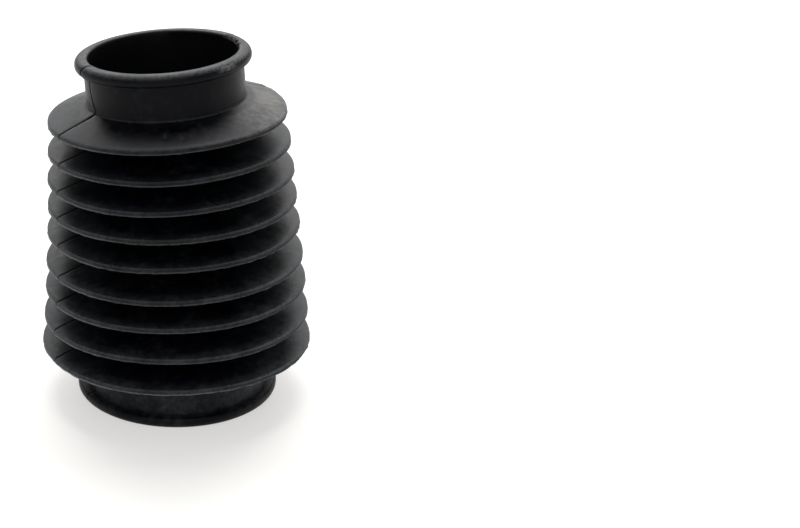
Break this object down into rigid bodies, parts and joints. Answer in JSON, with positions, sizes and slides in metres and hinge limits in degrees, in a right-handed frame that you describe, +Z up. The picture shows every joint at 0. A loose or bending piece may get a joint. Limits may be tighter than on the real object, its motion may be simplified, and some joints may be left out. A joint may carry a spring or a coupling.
{
  "type": "bellows boot",
  "caption": "Round rubber bellows boot with deep tapering folds, a larger beaded collar at its foot and a smaller beaded collar on top, open from end to end.",
  "frame": {"origin": "centre of the large collar's end face, which the boot stands on", "axes": "+Z up the large collar's axis towards the small collar; the boot is soft and bows as it stands, by 5.7 mm at its head, towards an azimuth 157.5 degrees from +X"},
  "size_m": [0.09, 0.0899, 0.1213],
  "materials": {
    "rubber": "matt moulded black rubber with a faint grey bloom"
  },
  "bodies": {
    "root": {"bellows_boot": "rubber"}
  },
  "joints": []
}
